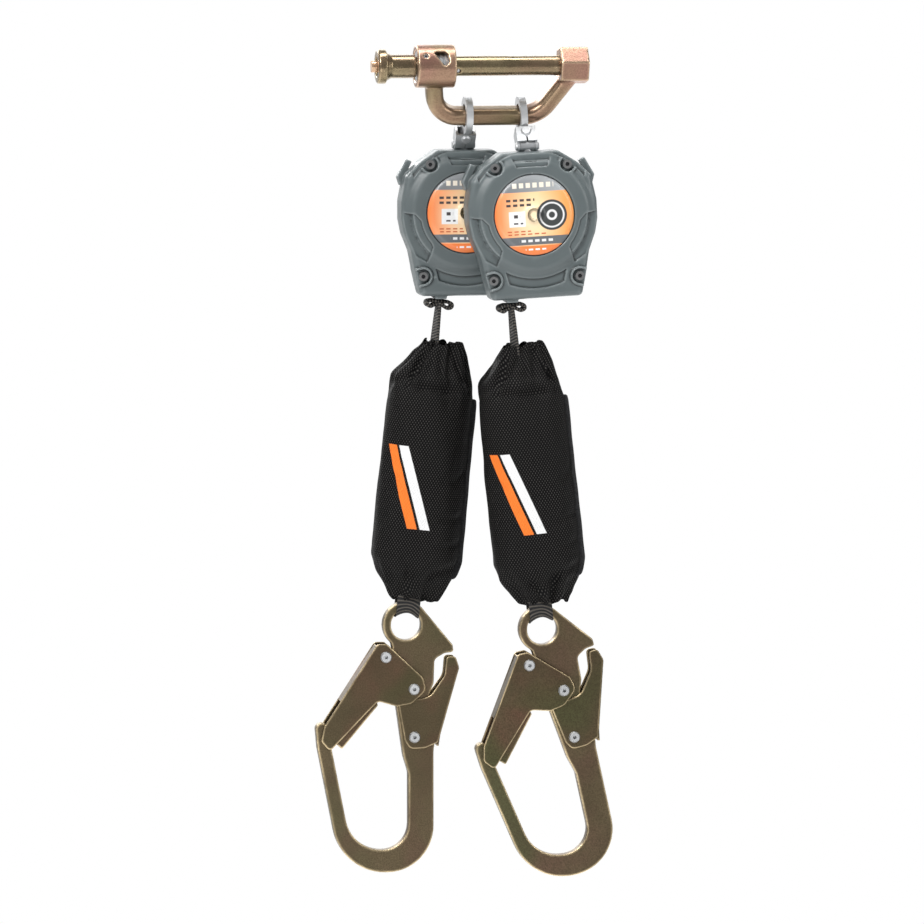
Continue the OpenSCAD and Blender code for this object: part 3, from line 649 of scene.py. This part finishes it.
def crease(matrix, obj, seed):
    """Pulls in the drag lines and dents that a filled pack shows."""
    inverse = matrix.inverted()
    for v in obj.data.vertices:
        p = inverse @ v.co
        push = 0.0
        for (cx, cz), (ux, uz), length, width, deep in PACK_DENTS:
            size = math.hypot(ux, uz)
            dx, dz = p.x - cx, p.z - PACK_TOP - cz
            along, off = (dx * ux + dz * uz) / size, (dx * uz - dz * ux) / size
            push += deep * math.exp(-((along / length) ** 2) - (off / width) ** 2)
        push *= max(0.0, min(1.0, -p.y / 8))
        wobble = noise.fractal(Vector((p.x * 0.05 + seed, p.y * 0.05, p.z * 0.028)), 1, 2, 3)
        below = PACK_TOP - p.z
        ends = max(0.0, 1 - below / RUMPLE_LEN) + max(0.0, 1 - (PACK_LEN - below) / RUMPLE_LEN)
        rumple = noise.noise(Vector((p.x * 0.16, p.y * 0.16, p.z * 0.1 + seed)))
        p -= (inverse.to_3x3() @ v.normal).normalized() * (push + 0.9 * wobble + 1.7 * ends * rumple)
        v.co = matrix @ p
    obj.data.update()


def add_pack(frame, looks, side):
    matrix = line_frame(frame, side)
    seed = SIDES.index(side) * 1.7
    points, quads, printed, around = pack_tube(seed)
    pack = placed(f"pack_cover_cloth_{side}", points, quads, matrix)
    layer = pack.data.uv_layers.new(name="face")
    for face in pack.data.polygons:
        columns = [pack.data.loops[k].vertex_index % around for k in face.loop_indices]
        seam = len(columns) == 4 and around - 1 in columns and 0 in columns
        for k, column in zip(face.loop_indices, columns):
            arc, down = printed[pack.data.loops[k].vertex_index // around]
            layer.data[k].uv = (arc[around if seam and column == 0 else column], down)
    held = pack.vertex_groups.new(name="held")
    count = len(points)
    ends = list(range(around * 5)) + list(range(count - around * 5, count))
    held.add(ends, 1.0, "REPLACE")
    inflate(pack, 16, 3.5 * MM)
    crease(matrix, pack, seed)
    modifier(pack, "SUBSURF", levels=1, render_levels=1)
    baked(pack)
    shade(pack)
    pack.data.materials.append(looks["ballistic"])
    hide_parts(f"pack_cover_{side}")
    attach(pack, f"{side}_line")


def add_flap(frame, looks, side):
    """The hook-and-loop closure that stands out along the right edge of a pack cover."""
    matrix = line_frame(frame, side)
    rows, count, start, length = [], 60, 46, 156
    for i in range(count):
        s = start + length * i / (count - 1)
        _, right, _ = pack_at(s)
        sway = 0.7 * math.sin(s * 0.05) + 0.35 * math.sin(s * 0.21)
        end = min(1.0, (i + 1) / 3, (count - i) / 3)
        centre = (right - 2.2 + sway * 0.5, -4.5 + sway, PACK_TOP - s)
        rows.append((centre, (1, -0.16, 0), 6.4 * (0.8 + 0.2 * end)))
    flap = strip(f"pack_flap_{side}", rows, matrix, 3.4)
    modifier(flap, "SUBSURF", levels=1, render_levels=1)
    baked(flap)
    shade(flap)
    flap.data.materials.append(looks["hook_and_loop"])
    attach(flap, f"{side}_line")


# ---------- materials ----------


class Nodes:
    """Short calls for building a material's node tree."""

    def __init__(self, name):
        self.material = bpy.data.materials.new(name)
        self.material.use_nodes = True
        self.tree = self.material.node_tree
        self.shader = self.tree.nodes["Principled BSDF"]
        self.coords = self.tree.nodes.new("ShaderNodeTexCoord")

    def node(self, kind, inputs=(), **settings):
        made = self.tree.nodes.new("ShaderNode" + kind)
        for key, value in settings.items():
            setattr(made, key, value)
        for key, value in dict(inputs).items():
            self.plug(value, made.inputs[key])
        return made

    def plug(self, value, socket):
        if isinstance(value, bpy.types.NodeSocket):
            self.tree.links.new(value, socket)
        else:
            socket.default_value = value

    def math(self, operation, a, b=0.0, c=0.0):
        return self.node("Math", {0: a, 1: b, 2: c}, operation=operation).outputs[0]

    def noise(self, scale, detail=3.0, rough=0.5, where=None, distortion=0.0):
        inputs = {"Vector": where or self.coords.outputs["Object"], "Scale": scale, "Detail": detail}
        inputs |= {"Roughness": rough, "Distortion": distortion}
        return self.node("TexNoise", inputs).outputs[0]

    def remap(self, value, low, high, to_low=0.0, to_high=1.0):
        inputs = {"Value": value, 1: low, 2: high, 3: to_low, 4: to_high}
        return self.node("MapRange", inputs, clamp=True).outputs[0]

    def mix(self, share, a, b):
        made = self.node("Mix", {0: share}, data_type="RGBA")
        self.plug(a, made.inputs[6])
        self.plug(b, made.inputs[7])
        return made.outputs[2]

    def stretched(self, x, y, z):
        scale = (x, y, z)
        return self.node("Mapping", {"Vector": self.coords.outputs["Object"], "Scale": scale}).outputs[0]

    def bump(self, height, strength, distance):
        inputs = {"Height": height, "Strength": strength, "Distance": distance * MM}
        return self.node("Bump", inputs).outputs[0]

    def edges(self, low=0.505, high=0.56):
        """From 0 to 1 along protruding edges: the mask for painted edge highlights."""
        return self.remap(self.node("NewGeometry").outputs["Pointiness"], low, high)

    def finish(self, **sockets):
        for key, value in sockets.items():
            self.plug(value, self.shader.inputs[key.replace("_", " ").title().replace("Ior", "IOR")])
        return self.material


def colour(r, g, b):
    return (r, g, b, 1.0)


def zinc(name, base, rose, green, highlight_colour, rough, grain, edge=0.8, reach=0.545):
    """Yellow zinc on steel: a matte gold whose tint wanders to rose and green, with a painted highlight
    along its protruding edges.
    """
    n = Nodes(name)
    patches = n.noise(26, 2, 0.5)
    drift = n.noise(13, 1, 0.5, distortion=0.6)
    body = n.mix(n.remap(patches, 0.42, 0.66), base, rose)
    body = n.mix(n.remap(drift, 0.52, 0.7), body, green)
    shade_over = n.noise(11, 2, 0.6)
    body = n.mix(n.remap(shade_over, 0.4, 0.7, 0.0, 0.5), body, tuple(0.5 * c for c in base[:3]) + (1.0,))
    speck = n.noise(900, 2, 0.7)
    body = n.mix(n.remap(speck, 0.38, 0.66, 0.0, 0.6), body, tuple(0.45 * c for c in base[:3]) + (1.0,))
    # Painted highlight: protruding edges, broken up by noise, mixed towards a bright colour
    edge_highlight = n.math("MULTIPLY", n.edges(0.503, reach), n.remap(n.noise(32, 3, 0.6), 0.36, 0.62, 0.3, 1.0))
    body = n.mix(n.math("MULTIPLY", edge_highlight, edge), body, highlight_colour)
    pits = n.noise(420, 3, 0.65)
    roughness = n.remap(n.noise(70, 3, 0.6), 0.3, 0.75, rough - 0.07, rough + 0.1)
    normal = n.bump(pits, grain, 0.25)
    return n.finish(base_color=body, metallic=0.88, roughness=roughness, normal=normal)


def steel(name, base, rough, scratch):
    """Turned or polished steel with fine scratches."""
    n = Nodes(name)
    lines = n.noise(60, 4, 0.7, n.stretched(1, 12, 24))
    soft = n.noise(45, 2, 0.5)
    darker = tuple(0.72 * c for c in base[:3]) + (1.0,)
    body = n.mix(n.remap(soft, 0.35, 0.75, 0, 0.6), base, darker)
    roughness = n.remap(lines, 0.3, 0.7, rough, rough + 0.12)
    return n.finish(base_color=body, metallic=1.0, roughness=roughness, normal=n.bump(lines, scratch, 0.1))


def black_oxide():
    n = Nodes("black_oxide")
    body = n.mix(n.noise(300, 2), colour(0.02, 0.02, 0.022), colour(0.05, 0.05, 0.053))
    # Painted highlight: pale grey along protruding edges
    body = n.mix(n.math("MULTIPLY", n.edges(), 0.6), body, colour(0.3, 0.3, 0.3))
    return n.finish(base_color=body, metallic=0.7, roughness=n.remap(n.noise(150), 0.3, 0.7, 0.3, 0.5))


def housing_plastic():
    """Grey glass-filled nylon with a fine moulded grain, a painted highlight along protruding edges and
    painted shade in hollows.
    """
    n = Nodes("housing_plastic")
    cloud = n.noise(18, 2, 0.5)
    body = n.mix(cloud, colour(0.080, 0.099, 0.102), colour(0.104, 0.125, 0.128))
    # Painted highlight: paler grey along protruding edges
    body = n.mix(n.math("MULTIPLY", n.edges(0.504, 0.54), 0.34), body, colour(0.33, 0.36, 0.365))
    # Painted shade: near black in concave hollows and recess corners
    hollow_shade = n.remap(n.node("NewGeometry").outputs["Pointiness"], 0.465, 0.497, 1.0, 0.0)
    body = n.mix(n.math("MULTIPLY", hollow_shade, 0.85), body, colour(0.016, 0.02, 0.021))
    grain = n.noise(1300, 2, 0.6)
    roughness = n.remap(n.noise(90, 3), 0.3, 0.7, 0.36, 0.48)
    normal = n.bump(grain, 0.22, 0.06)
    return n.finish(base_color=body, roughness=roughness, normal=normal, specular_ior_level=0.55)


def webbing():
    """Ribbed black polyester: pale picks across, fine threads along."""
    n = Nodes("webbing")
    split = n.node("SeparateXYZ", {0: n.node("UVMap", uv_map="face").outputs[0]})
    across, along = split.outputs[0], split.outputs[1]
    thread = n.math("SINE", n.math("MULTIPLY", across, 7.2))
    skew = n.math("ADD", along, n.math("MULTIPLY", across, 0.12))
    pick = n.math("SINE", n.math("MULTIPLY", skew, 2 * math.pi / 2.5))
    level = n.remap(pick, -0.1, 0.8)
    fuzz = n.noise(700, 3, 0.7)
    pale = n.mix(fuzz, colour(0.05, 0.043, 0.036), colour(0.14, 0.125, 0.105))
    body = n.mix(level, colour(0.006, 0.006, 0.007), pale)
    height = n.math("ADD", n.math("MULTIPLY", pick, 0.5), n.math("MULTIPLY", thread, 0.25))
    rough = n.remap(fuzz, 0.3, 0.7, 0.7, 0.9)
    return n.finish(base_color=body, roughness=rough, normal=n.bump(height, 0.8, 0.5))


def tear_web():
    """Tightly woven shock webbing with brown tear threads."""
    n = Nodes("tear_web")
    cell = n.node("TexVoronoi", {"Vector": n.stretched(1, 1, 0.5), "Scale": 700.0}).outputs[0]
    body = n.mix(cell, colour(0.16, 0.12, 0.08), colour(0.03, 0.024, 0.02))
    rough = n.remap(cell, 0, 1, 0.75, 0.95)
    return n.finish(base_color=body, roughness=rough, normal=n.bump(cell, 0.6, 0.3))


def band(n, value, low, high, soft):
    """1 between low and high along a value, with a short soft edge."""
    rise = n.remap(value, low - soft, low + soft)
    fall = n.remap(value, high - soft, high + soft, 1.0, 0.0)
    return n.math("MULTIPLY", rise, fall)


def stripe(n, across, down, left):
    """A straight slanted bar with level ends, from left at its top."""
    shift = n.math("MULTIPLY", n.math("SUBTRACT", STRIPE_TOP, down), STRIPE_SLOPE)
    inside = n.math("SUBTRACT", n.math("SUBTRACT", across, shift), left)
    level = band(n, down, STRIPE_FOOT, STRIPE_TOP, 0.25)
    return n.math("MULTIPLY", band(n, inside, 0, STRIPE_WIDTH, 0.25), level)


def ballistic():
    """Black ballistic nylon, with two plain slanted bars printed on its front."""
    n = Nodes("ballistic")
    split = n.node("SeparateXYZ", {0: n.node("UVMap", uv_map="face").outputs[0]})
    across, down = split.outputs[0], split.outputs[1]
    one = n.math("SINE", n.math("MULTIPLY", across, 2 * math.pi / 2.5))
    other = n.math("SINE", n.math("MULTIPLY", down, 2 * math.pi / 3.7))
    weave = n.math("MULTIPLY", one, other)
    level = n.remap(weave, 0.3, 0.8)
    wander = n.noise(30, 3, 0.6)
    thread = n.mix(wander, colour(0.035, 0.033, 0.031), colour(0.075, 0.071, 0.066))
    body = n.mix(level, colour(0.0010, 0.0010, 0.0011), thread)
    orange, white = stripe(n, across, down, -38), stripe(n, across, down, -27)
    ink = n.remap(weave, -1, 1, 0.88, 1.0)
    body = n.mix(n.math("MULTIPLY", orange, ink), body, colour(0.93, 0.215, 0.035))
    body = n.mix(n.math("MULTIPLY", white, ink), body, colour(0.86, 0.86, 0.86))
    fuzz = n.noise(1500, 2, 0.6)
    height = n.math("ADD", weave, n.math("MULTIPLY", fuzz, 0.4))
    rough = n.remap(wander, 0.3, 0.7, 0.6, 0.74)
    normal = n.bump(height, 0.5, 0.3)
    return n.finish(base_color=body, roughness=rough, normal=normal, specular_ior_level=0.12)


def hook_and_loop():
    """The black fuzz of a hook-and-loop closure."""
    n = Nodes("hook_and_loop")
    fuzz = n.noise(800, 4, 0.8)
    body = n.mix(n.remap(fuzz, 0.4, 0.72), colour(0.004, 0.004, 0.0045), colour(0.045, 0.045, 0.047))
    rough = n.remap(fuzz, 0.3, 0.7, 0.85, 1.0)
    return n.finish(base_color=body, roughness=rough, normal=n.bump(fuzz, 0.9, 0.6))


def label():
    """A generic label: grey bands, a field from orange to cream, a white box and rows of plain dashes."""
    n = Nodes("label")
    split = n.node("SeparateXYZ", {0: n.node("UVMap", uv_map="face").outputs[0]})
    x, z = split.outputs[0], split.outputs[1]
    fade = n.remap(x, -1.0, 0.1)
    field = n.mix(fade, colour(0.90, 0.20, 0.04), colour(0.93, 0.72, 0.42))
    field = n.mix(n.remap(x, -0.1, 0.75), field, colour(0.92, 0.36, 0.10))
    glow = n.remap(n.math("ABSOLUTE", n.math("ADD", z, 0.05)), 0.05, 0.55, 0.55, 0.0)
    field = n.mix(n.math("MULTIPLY", glow, band(n, x, -0.5, 0.5, 0.3)), field, colour(0.95, 0.86, 0.62))
    silver = n.mix(n.remap(x, -0.9, 0.9), colour(0.16, 0.17, 0.18), colour(0.42, 0.44, 0.45))
    body = n.mix(band(n, z, 0.56, 1.2, 0.008), field, silver)
    body = n.mix(band(n, z, -0.72, -0.52, 0.008), body, colour(0.13, 0.14, 0.15))
    body = n.mix(band(n, z, -1.2, -0.74, 0.008), body, colour(0.90, 0.22, 0.05))
    box = n.math("MULTIPLY", band(n, x, -0.62, -0.22, 0.008), band(n, z, -0.27, 0.10, 0.008))
    body = n.mix(box, body, colour(0.85, 0.85, 0.85))
    dash = n.remap(n.math("SINE", n.math("MULTIPLY", x, 38)), -0.55, -0.35)
    ink, rust, cream = colour(0.06, 0.05, 0.05), colour(0.55, 0.10, 0.03), colour(0.86, 0.78, 0.66)
    rows = [
        (0.34, 0.40, -0.68, 0.02, ink), (0.22, 0.28, -0.68, -0.02, ink), (-0.06, 0.02, -0.50, -0.34, ink),
        (-0.21, -0.17, -0.56, -0.28, ink), (-0.40, -0.37, -0.70, -0.10, rust),
        (-0.47, -0.44, -0.66, 0.30, rust), (-0.65, -0.59, -0.40, 0.48, colour(0.8, 0.8, 0.8)),
        (-0.85, -0.81, -0.25, 0.25, colour(0.9, 0.9, 0.9)), (0.66, 0.78, -0.52, 0.5, cream),
    ]
    for low, high, left, right, tone in rows:
        line = n.math("MULTIPLY", band(n, z, low, high, 0.006), band(n, x, left, right, 0.006))
        body = n.mix(n.math("MULTIPLY", line, dash), body, tone)
    spot = n.node("CombineXYZ", {0: x, 1: z, 2: 0.0}).outputs[0]
    away = n.node("VectorMath", {0: spot, 1: (0.43, -0.02, 0.0)}, operation="DISTANCE").outputs[1]
    dark, pale = colour(0.045, 0.05, 0.05), colour(0.75, 0.75, 0.75)
    for low, high, tone in ((-1, 0.37, dark), (0.27, 0.31, pale), (-1, 0.13, pale), (-1, 0.075, dark)):
        body = n.mix(band(n, away, low, high, 0.008), body, tone)
    # Painted shade: a near-black ring along the label's edge, where it meets the recess wall
    rim = n.node("VectorMath", {0: spot}, operation="LENGTH").outputs[1]
    body = n.mix(band(n, rim, 0.966, 2, 0.006), body, colour(0.012, 0.013, 0.014))
    grain = n.noise(500, 2)
    return n.finish(base_color=body, roughness=n.remap(grain, 0.3, 0.7, 0.32, 0.4), coat_weight=0.1)


def make_looks():
    return {
        "forged": zinc(
            "forged_zinc", colour(0.36, 0.225, 0.15), colour(0.36, 0.185, 0.145), colour(0.22, 0.215, 0.10),
            colour(0.82, 0.64, 0.42), 0.36, 0.35,
        ),
        "pin": zinc(
            "pin_zinc", colour(0.29, 0.23, 0.135), colour(0.31, 0.195, 0.13), colour(0.20, 0.195, 0.095),
            colour(0.60, 0.48, 0.30), 0.27, 0.02,
        ),
        "hook": zinc(
            "hook_zinc", colour(0.155, 0.118, 0.068), colour(0.165, 0.105, 0.07),
            colour(0.115, 0.112, 0.055), colour(0.80, 0.64, 0.39), 0.42, 0.35, 0.85, 0.535,
        ),
        "stamped": zinc(
            "stamped_zinc", colour(0.120, 0.092, 0.052), colour(0.15, 0.085, 0.055),
            colour(0.095, 0.095, 0.043), colour(0.76, 0.60, 0.36), 0.40, 0.25, 0.85, 0.535,
        ),
        "copper": zinc(
            "button_zinc", colour(0.50, 0.27, 0.15), colour(0.54, 0.26, 0.18), colour(0.38, 0.30, 0.15),
            colour(0.85, 0.62, 0.42), 0.28, 0.05,
        ),
        "polished": steel("polished_steel", colour(0.60, 0.61, 0.62), 0.44, 0.02),
        "satin": steel("satin_steel", colour(0.46, 0.47, 0.48), 0.42, 0.05),
        "screw": black_oxide(),
        "housing": housing_plastic(),
        "webbing": webbing(),
        "tear": tear_web(),
        "ballistic": ballistic(),
        "hook_and_loop": hook_and_loop(),
        "label": label(),
    }


SLOT_LOOKS = {
    "forged_gold": "forged", "pin_gold": "pin", "hook_gold": "hook", "button_copper": "copper",
    "bright_steel": "polished", "plain_steel": "satin", "dark_screw": "screw", "housing_grey": "housing",
    "webbing_black": "webbing", "cover_black": "hook_and_loop", "shock_web": "tear",
}


def paint_nodes(frame, looks):
    """Gives each CAD node that stays the finish of its material slot."""
    for part in frame["record"]["subparts"]:
        mesh = frame["nodes"][part["node"]].data
        mesh.materials.clear()
        mesh.materials.append(looks[SLOT_LOOKS[part["material_slot"]]])


# ---------- metal parts ----------


def add_forgings(frame, looks):
    """Forged and stamped parts, with the rounded edges that their dies and tumbling leave."""
    plans = [
        ("connector_frame", "connector", "forged", "forged_gold", 0.8, 7, 0.4),
        ("connector_pin", "pin", "pin", "pin_gold", 0.5, 12, 0.5),
    ]
    for side in SIDES:
        plans += [
            (f"hook_body_{side}", f"{side}_hook", "hook", "hook_gold", 0.75, 9, 0.35),
            (f"hook_gate_{side}", f"{side}_gate", "stamped", "hook_gold", 0.55, 3, 0.3),
            (f"hook_lever_{side}", f"{side}_lever", "stamped", "hook_gold", 0.55, 3, 0.3),
        ]
    for node, body, look, slot, voxel, rounds, keep in plans:
        piece = forged(frame, node, f"{node}_finished", voxel, rounds, keep)
        piece.data.materials.clear()
        piece.data.materials.append(looks[look])
        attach(piece, body)


def soften(frame, parts, width):
    """A small bevel on the CAD parts that stay."""
    corner = math.radians(35)
    for name in parts:
        obj = frame["nodes"][name]
        modifier(obj, "BEVEL", width=width * MM, segments=2, limit_method="ANGLE", angle_limit=corner)
        modifier(obj, "WEIGHTED_NORMAL", keep_sharp=True)


# ---------- stage ----------


def add_camera():
    """A long lens from far off, a little to the left and above."""
    azimuth, elevation, distance = math.radians(-9.5), math.radians(5.5), 6.0
    target = Vector((-0.0573, 0.010, -0.3366))
    view_height = 0.785
    level = math.cos(elevation)
    back = Vector((math.sin(azimuth) * level, -math.cos(azimuth) * level, math.sin(elevation)))
    data = bpy.data.cameras.new("camera")
    data.sensor_width = 36
    data.lens = data.sensor_width * distance / view_height
    data.clip_end = 50
    camera = bpy.data.objects.new("camera", data)
    camera.location = target + back * distance
    camera.rotation_mode = "QUATERNION"
    camera.rotation_quaternion = (-back).to_track_quat("-Z", "Y")
    bpy.context.scene.collection.objects.link(camera)
    bpy.context.scene.camera = camera


def add_light(name, where, aim, size, power):
    data = bpy.data.lights.new(name, "AREA")
    data.shape = "RECTANGLE"
    data.size, data.size_y = size
    data.energy = power
    lamp = bpy.data.objects.new(name, data)
    lamp.location = where
    lamp.rotation_mode = "QUATERNION"
    lamp.rotation_quaternion = (Vector(aim) - Vector(where)).to_track_quat("-Z", "Y")
    bpy.context.scene.collection.objects.link(lamp)


def add_floor():
    """A pale round floor, below the longest payout."""
    rings, spokes, radius = 8, 64, 9.0
    points, faces = [(0, 0, 0)], [(0, 1 + j, 1 + (j + 1) % spokes) for j in range(spokes)]
    for i in range(1, rings + 1):
        r = radius * i / rings
        turns = [2 * math.pi * j / spokes for j in range(spokes)]
        points += [(r * math.cos(a), r * math.sin(a), 0) for a in turns]
    for i in range(rings - 1):
        for j in range(spokes):
            a, b = 1 + i * spokes + j, 1 + i * spokes + (j + 1) % spokes
            faces.append((a, a + spokes, b + spokes, b))
    floor = placed("floor", points, faces, Matrix.Translation((0, 0, FLOOR_Z)))
    n = Nodes("floor")
    pale = n.mix(n.noise(3), colour(0.88, 0.88, 0.88), colour(0.9, 0.9, 0.9))
    n.finish(base_color=pale, roughness=0.8, emission_color=colour(1, 1, 1), emission_strength=0.66)
    floor.data.materials.append(n.material)


def add_surround():
    """A grey surround that is white behind the object, as the front camera sees it."""
    world = bpy.data.worlds.new("surround")
    world.use_nodes = True
    tree = world.node_tree
    coords = tree.nodes.new("ShaderNodeTexCoord")
    split = tree.nodes.new("ShaderNodeSeparateXYZ")
    ramp = tree.nodes.new("ShaderNodeMapRange")
    mix = tree.nodes.new("ShaderNodeMix")
    mix.data_type = "RGBA"
    mix.inputs[6].default_value = colour(0.25, 0.253, 0.257)
    mix.inputs[7].default_value = colour(1.0, 1.0, 1.0)
    grey_to, white_from = 0.88, 0.955
    ramp.inputs[1].default_value, ramp.inputs[2].default_value = grey_to, white_from
    tree.links.new(coords.outputs["Generated"], split.inputs[0])
    tree.links.new(split.outputs[1], ramp.inputs[0])
    tree.links.new(ramp.outputs[0], mix.inputs[0])
    tree.links.new(mix.outputs[2], tree.nodes["Background"].inputs[0])
    bpy.context.scene.world = world
    bpy.context.scene.view_settings.view_transform = "Standard"


def add_lights():
    """Soft boxes round the object, and one wash on the floor behind it."""
    aim = (-0.05, 0, -0.33)
    add_light("key", (-1.3, -1.4, 1.3), aim, (0.6, 0.8), 44)
    add_light("fill", (1.7, -1.5, 0.3), aim, (0.4, 1.5), 15)
    add_light("top", (0.0, -0.1, 1.4), aim, (1.2, 0.4), 20)
    add_light("low", (-0.4, -1.9, -0.8), aim, (1.0, 0.4), 5)
    add_light("floor_wash", (0, 4.6, 1.4), (0, 4.6, FLOOR_Z), (7, 6), 330)
    add_light("back", (-0.9, 2.2, 0.7), aim, (0.9, 0.9), 26)


# ---------- the object ----------


def main():
    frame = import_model()
    add_camera()
    looks = make_looks()
    paint_nodes(frame, looks)
    add_forgings(frame, looks)
    add_covers(frame, looks)
    add_labels(frame, looks)
    for side in SIDES:
        add_lead(frame, looks, side)
        add_bow(frame, looks, side)
        add_lanyard(frame, looks, side)
        add_hook_loop(looks, side, line_frame(frame, side))
        add_pack(frame, looks, side)
        add_flap(frame, looks, side)
    turned = ["pin_button", "collar_sleeve", "collar_screw"]
    for part in ("swivel_pins", "hook_rivets", "gate_rivet", "cover_screws"):
        turned += [f"{part}_{side}" for side in SIDES]
    soften(frame, turned, 0.25)
    soften(frame, [f"{part}_{side}" for part in ("eye", "stirrup") for side in SIDES], 0.8)
    add_floor()
    add_surround()
    add_lights()


main()
